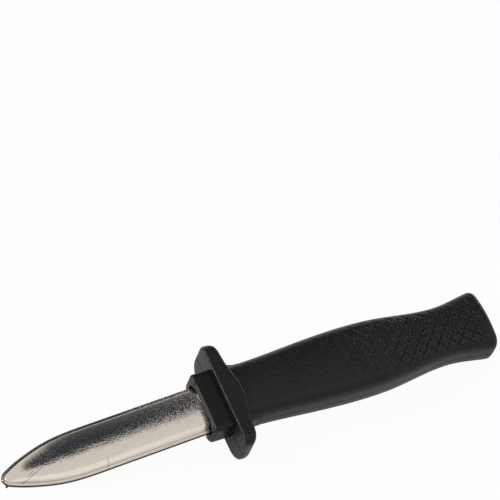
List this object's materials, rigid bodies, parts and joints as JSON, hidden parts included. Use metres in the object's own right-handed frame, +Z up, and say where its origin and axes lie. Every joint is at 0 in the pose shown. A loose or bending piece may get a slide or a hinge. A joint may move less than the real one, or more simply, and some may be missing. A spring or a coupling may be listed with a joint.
{
  "type": "retractable trick knife",
  "caption": "Toy trick knife: hollow black grip with guard and throat collar, and a blunt bright blade that slides into the grip against a spring.",
  "frame": {"origin": "centre of the guard's flat lower side, on which the knife lies", "axes": "+X along the handle from the blade towards the butt, +Y across the blade's width, +Z up, square to the blade's flat"},
  "size_m": [0.1784, 0.038, 0.016],
  "materials": {
    "handle_plastic": "black moulded plastic with a fine grain and a low satin sheen",
    "collar_plastic": "smooth black moulded plastic, satin",
    "blade_plating": "bright chrome-like plating on moulded plastic, slightly grainy, with fine scratches",
    "spring_steel": "drawn spring wire"
  },
  "bodies": {
    "handle": {"handle_top_half": "handle_plastic", "handle_bottom_half": "handle_plastic", "throat_collar": "collar_plastic", "spring": "spring_steel"},
    "blade": {"blade": "blade_plating"}
  },
  "joints": [
    {"name": "blade_slide", "type": "slide", "parent": "handle", "child": "blade", "axis": [0.9987, 0.0506, 0], "range_m": [0, 0.058], "stiffness_N_per_m": 130, "springref_m": -0.012, "deforming": ["spring"]}
  ]
}
